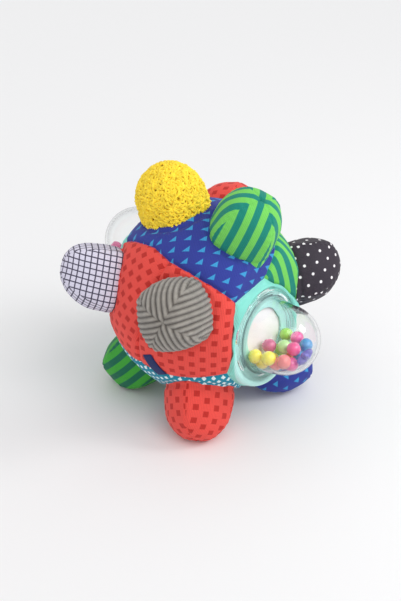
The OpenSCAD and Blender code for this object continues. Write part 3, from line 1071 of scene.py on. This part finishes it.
@dataclass
class Panel:
    """One printed panel of the ball: all that lies nearer to its middle than to its neighbours'.

    Its relief is bell curves of the distances to its seams, to the knobs' feet and to its window's flange,
    and ripples, each with its height and its length.
    """

    name: str
    place: Place
    cloth: str
    slot: str
    ball: Ball
    window: int | None = None
    around: Place | None = None
    print_turn: float = 0.0
    rows: int = 64
    cols: int = 288
    overlap: float = 0.12
    bulge: float = 1.1
    bulge_reach: float = 5.0
    seam_dip: tuple[float, float] = (0.9, 1.1)
    seam_pucker: tuple[float, float] = (0.15, 4.5)
    pucker_reach: float = 2.2
    foot_share: float = 1.02
    foot_dip: tuple[float, float] = (1.0, 1.6)
    foot_pucker: tuple[float, float] = (0.25, 3.0)
    foot_pucker_way: float = 2.0
    foot_pucker_length: float = 5.0
    rim_roll: tuple[float, float] = (1.6, 1.5)
    rim_way: float = 1.6
    sag: tuple[float, float] = (0.2, 14.0)
    shared_seeds: tuple[int, int] = (5, 6)
    row_power: float = 1.5
    cloth_t: float = 1.2

    def seam_distances(self, ways: np.ndarray, others: list["Panel"]) -> np.ndarray:
        """How far along the ball each way lies inside the nearest seam: the least over the neighbours."""
        across = [self.place.way() - other.place.way() for other in others if other is not self]
        angles = [np.arcsin(np.clip(ways @ (way / np.linalg.norm(way)), -1, 1)) for way in across]
        return np.min(angles, axis=0) * self.ball.radius

    def inside(self, ways: np.ndarray, points: np.ndarray, others: list["Panel"]) -> np.ndarray:
        """How far points of the ball lie inside this panel, with the windows' rims taken into account."""
        depth = self.seam_distances(ways, others)
        for k, window in enumerate(self.ball.windows):
            to_rim = window.radial(points) - window.rim_r()
            in_front = ways @ window.axis > 0
            if self.window == k:
                depth = np.maximum(depth, np.where(in_front, -to_rim, depth))
            else:
                depth = np.minimum(depth, np.where(in_front, to_rim, depth))
        return depth

    def middle(self) -> np.ndarray:
        """Axes whose z is the middle of the panel's knob, or of its window."""
        if self.window is None:
            return (self.around or self.place).axes()
        spot = self.ball.windows[self.window].middle
        way = spot / np.linalg.norm(spot)
        down = np.cross(np.cross([0, 0, 1.0], way), way)
        down /= np.linalg.norm(down)
        return spun(down, np.cross(way, down), way, self.place.spin)

    @staticmethod
    def crossing(angles: np.ndarray, values: np.ndarray) -> np.ndarray:
        """The angle at which each column of values first falls below zero, taken straight between rows."""
        row = np.argmax(values < 0, axis=0).clip(1)
        at = np.arange(values.shape[1])
        before, after = values[row - 1, at], values[row, at]
        return angles[row - 1] + (angles[1] - angles[0]) * before / (before - after)

    def reach(self, others: list["Panel"], cols: int) -> tuple[np.ndarray, np.ndarray]:
        """The angles at which the panel starts and ends, along each way from its middle.

        Returns:
            The first angle, which is zero unless a window's hole lies there, and the last one.
        """
        fine = np.linspace(0.01, 1.35, 400)
        ways = self.spread(fine[:, None], cols)
        points = self.ball.surface(ways)
        end = self.crossing(fine, self.inside(ways, points, others) + self.overlap)
        if self.window is None:
            return np.zeros(cols), end
        window = self.ball.windows[self.window]
        return self.crossing(fine, window.hole_r - window.radial(points)), end

    def spread(self, angle: np.ndarray, cols: int) -> np.ndarray:
        """Unit vectors at angles from the panel's middle, one column for each way round it."""
        axes = self.middle()
        turn = round_turn(cols)
        angle = np.broadcast_to(angle, (angle.shape[0], cols))[..., None]
        flat = np.cos(turn)[:, None] * axes[:, 0] + np.sin(turn)[:, None] * axes[:, 1]
        return np.cos(angle) * axes[:, 2] + np.sin(angle) * flat[None]

    def grid(self, others: list["Panel"], rows: int, cols: int) -> tuple[np.ndarray, np.ndarray, np.ndarray]:
        """The panel as rows from its middle to its edge, closer together at the edge.

        Returns:
            The unit vectors, the points of the ball's shape and the angles from the middle.
        """
        start, end = self.reach(others, cols)
        first_share = 0.02 if self.window is None else 0.0
        share = 1 - (1 - np.linspace(first_share, 1, rows)) ** self.row_power
        angle = start + (end - start) * share[:, None]
        ways = self.spread(angle, cols)
        return ways, self.ball.surface(ways), angle

    def puff(
        self, ways: np.ndarray, points: np.ndarray, others: list["Panel"], knobs: list[Knob]
    ) -> np.ndarray:
        """How far the stuffed cloth stands off the ball's shape.

        It swells away from the seams as one less an exponential, dips at them and at the foot of each knob as
        a bell curve, and has small puckers there. A window's panel rolls up round the flange.
        """
        kin = [other for other in others if other is self or not other.cloth == self.cloth == JOINED_CLOTH]
        seam = np.abs(self.inside(ways, points, kin))
        seam_seed, sag_seed = self.shared_seeds
        out = self.bulge * (1 - np.exp(-seam / self.bulge_reach)) - bell(seam, self.seam_dip)
        height, length = self.seam_pucker
        out = out + height * ripple(points, length, seam_seed) * np.exp(-seam / self.pucker_reach)
        foot_waves = ripple(points, self.foot_pucker_length, sum(map(ord, self.name)) + 1)
        for knob in knobs:
            angle = np.arccos(np.clip(ways @ knob.place.way(), -1, 1))
            to_foot = angle * self.ball.radius - knob.widest * self.foot_share
            out = out - bell(to_foot, self.foot_dip)
            out = out + foot_waves * bell(to_foot - self.foot_pucker_way, self.foot_pucker)
        if self.window is not None:
            window = self.ball.windows[self.window]
            past_flange = window.radial(points) - window.flange_r
            out = np.where(past_flange < 0, 0, out) + bell(past_flange - self.rim_way, self.rim_roll)
        height, length = self.sag
        return out + height * ripple(points, length, sag_seed)

    def build(
        self, others: list["Panel"], knobs: list[Knob], finish: bpy.types.Material
    ) -> bpy.types.Object:
        """Args:
            others: All the panels.
            knobs: All the knobs.
            finish: Its cloth.

        Returns:
            The new piece.
        """
        ways, points, angle = self.grid(others, self.rows, self.cols)
        normal = grid_normals(points, inwards=True)
        points = points + normal * self.puff(ways, points, others, knobs)[..., None]
        turn = round_turn(self.cols) + math.radians(self.print_turn)
        flat = self.ball.radius * angle[..., None] * np.stack([np.sin(turn), -np.cos(turn)], -1)
        if self.window is None:
            points, flat = self._closed(points, flat)
        else:
            flat = flat + FABRICS[self.cloth].pitch[0] / 2
        faces = grid_faces(points.shape[0], self.cols, inwards=True)
        points = points + self.ball.centre
        piece = make_piece(self.name + "_cloth", points, faces, finish, flat.reshape(-1, 2))
        wall = piece.modifiers.new("cloth_thickness", "SOLIDIFY")
        wall.thickness = self.cloth_t * MM
        wall.offset = -1
        declare(piece, self.name)
        log.info("%s: %d faces of %s", piece.name, len(faces), self.cloth)
        return piece

    @staticmethod
    def _closed(points: np.ndarray, flat: np.ndarray) -> tuple[np.ndarray, np.ndarray]:
        """Closes the middle of a grid: one more row, all of it at the middle point."""
        centre = np.broadcast_to(points[:1].mean(axis=1, keepdims=True), points[:1].shape)
        return np.concatenate([centre, points]), np.concatenate([np.zeros_like(flat[:1]), flat])


@dataclass
class Dome:
    """A clear window's shell, turned about its axis, with its flange and the ridges on it."""

    name: str
    window: Window
    ball: Ball
    neck_r: float = 22.0
    end_r: float = 20.0
    neck_h: float = 14.5
    wall: float = 1.5
    flange_t: float = 1.6
    fillet: float = 1.6
    ridge: float = 0.9
    ridge_w: float = 1.24
    ridges: int = 2
    ridge_gap: float = 0.2
    cols: int = 128

    def outline(self) -> np.ndarray:
        """The closed outline as radius and height: up the inside, over the end, down the outside and back."""
        rise = np.linspace(0, QUARTER_TURN, 28)
        arc = np.stack([np.cos(rise), np.sin(rise)], 1)
        end = np.array([[0.0, self.neck_h]])
        inner = end + (self.end_r - self.wall) * arc
        outer = end + self.end_r * arc[::-1]
        corner = np.linspace(0, QUARTER_TURN, 7)
        foot_r = self.neck_r + self.fillet
        fillet = np.stack(
            [foot_r - self.fillet * np.cos(corner), self.flange_t + self.fillet * (1 - np.sin(corner))], 1
        )
        crest = np.linspace(0, self.ridges * FULL_TURN, 17)[1:-1]
        ridge = np.stack(
            [
                foot_r + self.ridge_gap + crest / FULL_TURN * self.ridge_w,
                self.flange_t + self.ridge * (1 - np.cos(crest)) / 2,
            ],
            1,
        )
        edge = np.linspace(QUARTER_TURN, -QUARTER_TURN, 9)
        half = self.flange_t / 2
        edge_r = self.window.flange_r - half
        round_edge = np.stack([edge_r + half * np.cos(edge), half + half * np.sin(edge)], 1)
        neck = np.linspace([self.neck_r - self.wall, 0.0], inner[0], 8)[:-1]
        return np.concatenate([neck, inner, outer, fillet, ridge, round_edge])

    def build(self, finish: bpy.types.Material, node: str) -> bpy.types.Object:
        """Makes the shell as a surface of revolution of its closed outline.

        Args:
            finish: Its plastic, which finds the radius and height of a point in its UV map.
            node: The node that it stands for.

        Returns:
            The new piece.
        """
        outline = self.outline()
        rows = np.concatenate([outline, outline[:1]])
        points = turned(rows, self.cols) @ self.window.axes().T + self.window.middle + self.ball.centre
        uv = np.repeat(rows[:, None], self.cols, 1).reshape(-1, 2)
        piece = make_piece(self.name, points, grid_faces(len(rows), self.cols, inwards=True), finish, uv)
        merge_and_face_out(piece)
        declare(piece, node)
        log.info("%s: %d outline points", piece.name, len(outline))
        return piece


@dataclass
class RibbonTab:
    """A narrow ribbon sewn into a seam and folded flat over the ball."""

    ball: Ball
    place: Place = Place(-31.5, -19, 27)
    length: float = 16.0
    width: float = 7.0
    thick: float = 1.0
    thick_share: float = 0.6
    lift: float = 0.9
    bow: float = 0.5
    rows: int = 48
    cols: int = 40

    def build(self, finish: bpy.types.Material) -> bpy.types.Object:
        """Makes the ribbon as a flattened tube that is laid on the ball's shape.

        Its cross-section is a rounded bar, and its middle lifts a little off the ball as a sine of the way
        along.
        """
        along = np.linspace(-self.length / 2, self.length / 2, self.rows)[:, None]
        cosine, sine = np.cos(round_turn(self.cols)), np.sin(round_turn(self.cols))
        side = self.width / 2 * np.sign(cosine) * np.abs(cosine) ** 0.35
        rise = self.thick * self.thick_share * np.sign(sine) * np.abs(sine) ** 0.8
        arch = np.sin(np.linspace(0, math.pi, self.rows))[:, None]
        taper = np.clip(arch * 8, 0.02, 1)
        down, right, out = self.place.axes().T
        flat = along[..., None] * down + side[None, :, None] * right + self.ball.radius * out
        ways = flat / np.linalg.norm(flat, axis=-1, keepdims=True)
        lift = self.lift + self.bow * arch + rise[None, :] * taper
        points = self.ball.surface(ways) + ways * lift[..., None] + self.ball.centre
        uv = np.stack(np.broadcast_arrays(along, side[None]), -1).reshape(-1, 2)
        piece = make_piece("ribbon_tab_cloth", points, grid_faces(self.rows, self.cols), finish, uv)
        merge_and_face_out(piece)
        declare(piece, "ribbon_tab")
        log.info("%s: %.0f mm long", piece.name, self.length)
        return piece


@dataclass
class Fill:
    """The stuffing, as lumpy masses inside the ball and the knobs."""

    ball: Ball
    knobs: list[Knob]
    gap: float = 3.2
    lump: float = 0.8
    lump_length: float = 12.0
    lump_seed: int = 3
    plate_gap: float = 1.0
    rim_gap: float = 2.0
    wad_middle: float = 62.0
    wad_share: float = 0.86
    ball_grid: tuple[int, int] = (48, 96)
    wad_grid: tuple[int, int] = (24, 40)

    def build(self, finish: bpy.types.Material) -> None:
        """Makes the ball's stuffing and the knobs' as two pieces."""
        rows, cols = self.ball_grid
        height = np.linspace(-QUARTER_TURN, QUARTER_TURN, rows)
        ways = turned(np.stack([np.cos(height), np.sin(height)], 1), cols)
        lumps = self.lump * ripple(ways * 50, self.lump_length, self.lump_seed)
        surface = self.ball.surface(ways) - ways * (self.gap + lumps[..., None])
        for window in self.ball.windows:
            depth = window.height(surface) + window.plate_t + window.fabric_t + self.plate_gap
            near = (window.radial(surface) < window.plate_r + self.rim_gap) & (depth > 0)
            surface = surface - np.where(near, depth, 0)[..., None] * window.axis
        self._piece("ball_stuffing", surface, grid_faces(rows, cols), "ball_wad", finish)
        rows, cols = self.wad_grid
        middle = np.array([0, 0, self.wad_middle])
        covers = [knob.grid(rows, cols)[0] for knob in self.knobs]
        shrunk = [middle + (points - middle) * self.wad_share for points in covers]
        shells = np.stack([knob.placed(points) for knob, points in zip(self.knobs, shrunk)])
        faces = grid_faces(rows, cols)[None] + np.arange(len(shells))[:, None, None] * rows * cols
        self._piece("knob_stuffing", shells, faces.reshape(-1, 4), "knob_wads", finish)

    def _piece(
        self, name: str, points: np.ndarray, faces: np.ndarray, node: str, finish: bpy.types.Material
    ) -> None:
        """Makes and declares one mass of stuffing."""
        flat = points.reshape(-1, 3)
        piece = make_piece(name, flat + self.ball.centre, faces, finish, flat[:, :2])
        merge_and_face_out(piece)
        declare(piece, node)
        log.info("%s: %d faces", name, len(faces))


class ClothBall:
    """The ball's cloth: its panels, knobs, ribbon and stuffing."""

    KNOBS = (
        ("knob_grey", Place(-16.5, 19.5, 66), "grey_corduroy", "grey_corduroy"),
        ("knob_stripe_top", Place(54.5, 62.5, 73), "green_stripes", "green_stripes"),
        ("knob_yellow", Place(-98, 73, 10), "yellow_pile", "yellow_pile"),
        ("knob_dot", Place(107, 5, 12), "plum_dots", "plum_dots"),
        ("knob_red_low", Place(-5, -51, 17), "red_squares", "red_squares"),
        ("knob_blue", Place(98, -51, 45), "blue_triangles", "blue_triangles"),
        ("knob_grid", Place(-85, 13.5, 75), "grid_knit", "grid_fabric"),
        # The low striped knob wears the darker copy of the green stripes, with painted shade.
        ("knob_stripe_low", Place(-105, -51, 55), "shaded_green_stripes", "green_stripes"),
        ("knob_red_back", Place(164, 28, 15), "red_squares", "red_squares"),
        ("knob_back", Place(165, -26, 25), "teal_diamonds", "teal_diamonds"),
    )
    PANELS = (
        ("panel_grey", Place(-31.5, 0.5), "red_squares", 0),
        ("panel_stripe_top", Place(67, 75.5), "blue_triangles", 56),
        ("panel_yellow", Place(178, 77.5), "blue_triangles", -68),
        ("panel_dot", Place(101.5, 16.5), "green_stripes", 0),
        ("panel_red_low", Place(-37.5, -54), "teal_diamonds", 0),
        ("panel_blue", Place(98, -32.5), "plum_dots", 0),
        ("panel_grid", Place(-49.5, 3.5), "red_squares", 20),
        ("panel_stripe_low", Place(-84.5, -49.5), "teal_diamonds", 0),
        ("panel_red_back", Place(163, 31.5), "green_stripes", 0),
        ("panel_back", Place(165, -26), "plum_dots", 0),
    )
    WINDOW_PANELS = (
        ("window_panel_front", Place(65.5, -12.5), 0),
        ("window_panel_rear", Place(-141, -1), 1),
    )
    CHANGES = {
        "knob_grey": {"rows": 150, "cols": 480},
        "knob_yellow": {"widest": 18.0, "tip": 81.5, "corner": 1.2, "shift": (-0.6, 4.5, -0.3)},
        "knob_red_low": {"shift": (0, -0.6, -1.8)},
        "knob_grid": {"lean": (-2, 2, 3)},
        "knob_blue": {"lean": (9, -1, 2)},
        "knob_stripe_low": {"lean": (-5, 0, 0)},
        "knob_dot": {"lean": (0, 1.5, 3)},
        "knob_red_back": {"lean": (1, 0, -7)},
    }

    def __init__(self, ball: Ball, cloths: dict[str, bpy.types.Material]) -> None:
        """Lists the knobs and panels.

        Args:
            ball: The ball's shape.
            cloths: The materials by the cloths' names.
        """
        self.ball = ball
        self.cloths = cloths
        self.knobs = [
            Knob(name, place, cloth, slot, ball, **self.CHANGES.get(name, {}))
            for name, place, cloth, slot in self.KNOBS
        ]
        middles = {
            knob.name.removeprefix("knob_"): Place(knob.place.turn, knob.place.height) for knob in self.knobs
        }
        self.panels = [
            Panel(
                name, place, cloth, cloth, ball, around=middles[name.removeprefix("panel_")], print_turn=turn
            )
            for name, place, cloth, turn in self.PANELS
        ]
        for name, place, window in self.WINDOW_PANELS:
            self.panels.append(Panel(name, place, "aqua_knit", "aqua_fabric", ball, window))

    def build(self) -> None:
        """Simulates the stuffing of the covers and makes every cloth piece."""
        stuffing = Stuffing()
        for knob in self.knobs:
            knob.stuff(stuffing)
        swollen = stuffing.run()
        for knob in self.knobs:
            knob.build(swollen[knob.name], self.cloths[knob.cloth])
            if FABRICS[knob.cloth].pattern is Pattern.PILE:
                LoopPile(knob).build(self.cloths[knob.cloth])
        for panel in self.panels:
            panel.build(self.panels, self.knobs, self.cloths[panel.cloth])
        RibbonTab(self.ball).build(self.cloths["navy_ribbon"])
        Fill(self.ball, self.knobs).build(self.cloths["stuffing"])


class BeadWindows:
    """The two clear windows: shells, white back plates and loose beads."""

    BEADS = {
        "beads_blue": "1E90D2",
        "beads_orange": "FF8A1C",
        "beads_lime": "9ADB32",
        "beads_yellow": "FFF028",
        "beads_coral": "F87878",
        "beads_pink": "F0409A",
        "top_bead_rose": "C8487E",
        "top_bead_lime": "B4E08C",
        "top_bead_pink": "EE2C86",
    }
    REAR_BEADS = ("beads_yellow", "beads_orange", "beads_blue", "beads_pink")

    def __init__(self, ball: Ball) -> None:
        """Keeps the ball's shape."""
        self.ball = ball

    def build(self) -> None:
        """Makes the shells and dresses the plates and beads."""
        clear = ClearPlastic().build()
        for window, name in zip(self.ball.windows, ("front_dome", "rear_dome")):
            Dome(name + "_shell", window, self.ball).build(clear, name)
        white = Plastic("white_plate", "F4F4F4", rough=0.3).build()
        for name in ("front_back_plate", "rear_back_plate"):
            self._dress(name, white)
        colours = self.BEADS | {"rear_" + name: self.BEADS[name] for name in self.REAR_BEADS}
        for name, colour in colours.items():
            self._dress(name, Plastic(name, colour, rough=0.12, coat=0.9).build())
        self._star(Plastic("violet_star", "7A6AE0", rough=0.12, through=0.5).build())

    def _star(self, finish: bpy.types.Material, lobe: float = 0.24, thick: float = 4.6) -> None:
        """Makes the star with rounded points in place of the frame's, in the same plane.

        Its radius is one less the lobe times one less the cosine of five times the way round, and its
        cross-section a superellipse.

        Args:
            finish: Its plastic.
            lobe: How deep the notches between its points are, as a share of its radius.
            thick: Its thickness in millimetres.
        """
        node = frame["nodes"]["star_bead"]
        corners = np.zeros(len(node.data.vertices) * 3, np.float32)
        node.data.vertices.foreach_get("co", corners)
        corners = corners.reshape(-1, 3) / MM
        middle = (corners.max(0) + corners.min(0)) / 2
        axis = np.linalg.svd(corners - corners.mean(0), full_matrices=False)[2][2]
        flat = corners - middle - ((corners - middle) @ axis)[:, None] * axis
        reach = np.linalg.norm(flat, axis=1)
        first = flat[reach.argmax()] / reach.max()
        rows, cols = 25, 80
        turn = round_turn(cols)
        rise = np.linspace(-QUARTER_TURN, QUARTER_TURN, rows)
        radius = reach.max() * (1 - lobe * (1 - np.cos(5 * turn)))
        spread = np.cos(rise).clip(0) ** 0.7
        height = thick / 2 * np.sign(np.sin(rise)) * np.abs(np.sin(rise)) ** 0.8
        around = np.cos(turn)[:, None] * first + np.sin(turn)[:, None] * np.cross(axis, first)
        layer = spread[:, None, None] * (radius[:, None] * around)[None]
        points = middle + layer + height[:, None, None] * axis
        piece = make_piece("star_bead_soft", points, grid_faces(rows, cols), finish)
        merge_and_face_out(piece)
        declare(piece, "star_bead", HEAP_BODY)
        log.info("%s: %.1f mm across", piece.name, 2 * reach.max())

    @staticmethod
    def _dress(name: str, finish: bpy.types.Material) -> None:
        """Gives a node of the frame its finish."""
        node = frame["nodes"][name]
        node.data.materials.clear()
        node.data.materials.append(finish)
        log.info("%s: dressed", name)


@dataclass
class Studio:
    """The pale floor, the soft light and the camera, in degrees, millimetres and watts."""

    ball: Ball
    tilt: float = 31.0
    distance: float = 774.0
    lens: float = 79.6
    sensor: float = 36.0
    picture: tuple[int, int] = (401, 601)
    ball_pixel: tuple[float, float] = (204.5, 294.8)
    floor_half: float = 4000.0
    world_share: float = 0.8
    sun_power: float = 0.7
    sun_spread: float = 35.0
    sun_tilt: tuple[float, float] = (28.0, 24.0)
    box_power: float = 0.9
    box_size: tuple[float, float] = (160.0, 200.0)
    box_way: tuple[float, float, float] = (0.8, -0.12, 0.592)
    box_distance: float = 600.0

    def build(self) -> None:
        """Sets up the scene round the ball."""
        bpy.context.scene.view_settings.view_transform = "Standard"
        self._camera()
        self._floor()
        self._world()
        self._sun()
        self._soft_box()
        log.info("studio: camera %.0f mm from the ball", self.distance)

    @staticmethod
    def _add(name: str, data: bpy.types.ID) -> bpy.types.Object:
        """Puts a lamp or a camera into the scene."""
        item = bpy.data.objects.new(name, data)
        bpy.context.scene.collection.objects.link(item)
        return item

    def _camera(self) -> None:
        """Puts the camera in front, above the ball, and shifts the picture to where the ball was seen."""
        data = bpy.data.cameras.new("camera")
        data.lens, data.sensor_width = self.lens, self.sensor
        width, height = self.picture
        data.shift_x = (width / 2 - self.ball_pixel[0]) / height
        data.shift_y = (self.ball_pixel[1] - height / 2) / height
        camera = self._add("camera", data)
        tilt = math.radians(self.tilt)
        back = np.array([0, -math.cos(tilt), math.sin(tilt)])
        camera.location = (self.ball.centre + self.distance * back) * MM
        camera.rotation_euler = (QUARTER_TURN - tilt, 0, 0)
        bpy.context.scene.camera = camera

    def _floor(self) -> None:
        """Lays a wide pale floor that keeps the ball's shadow."""
        half = self.floor_half
        corners = np.array([[-half, -half, 0], [half, -half, 0], [half, half, 0], [-half, half, 0]])
        material, tree, shader = new_material("pale_floor")
        tree.fill(shader, {"Base Color": tone("EFEFF0"), "Roughness": 0.9, "Specular IOR Level": 0.1})
        make_piece("floor", corners, np.array([[0, 1, 2, 3]]), material)

    def _world(self) -> None:
        """Lights the scene evenly from all round."""
        world = bpy.data.worlds.new("studio")
        world.use_nodes = True
        sky = world.node_tree.nodes["Background"]
        NodeTree(world.node_tree).fill(sky, {"Color": (1, 1, 1, 1), "Strength": self.world_share})
        bpy.context.scene.world = world

    def _sun(self) -> None:
        """Adds one broad soft light from the upper right."""
        sun = bpy.data.lights.new("key", "SUN")
        sun.energy = self.sun_power
        sun.angle = math.radians(self.sun_spread)
        self._add("key", sun).rotation_euler = (*[math.radians(angle) for angle in self.sun_tilt], 0)

    def _soft_box(self) -> None:
        """Adds a small soft box on the right, which the domes and beads reflect."""
        box = bpy.data.lights.new("soft_box", "AREA")
        box.shape = "RECTANGLE"
        box.size, box.size_y = (side * MM for side in self.box_size)
        box.energy = self.box_power
        panel = self._add("soft_box", box)
        x, y, z = self.box_way
        panel.location = (self.ball.centre + self.box_distance * np.array(self.box_way)) * MM
        panel.rotation_euler = (math.acos(z), 0, math.atan2(y, x) + QUARTER_TURN)


def main() -> None:
    """Builds the ball's sub-assemblies in order and reports each piece."""
    logging.basicConfig(level=logging.INFO, format="%(name)s: %(message)s")
    ball = Ball()
    groups = EffectGroups()
    Studio(ball).build()
    cloths = {name: fabric.build(groups) for name, fabric in FABRICS.items()}
    ClothBall(ball, cloths).build()
    BeadWindows(ball).build()


if __name__ == "__main__":
    main()
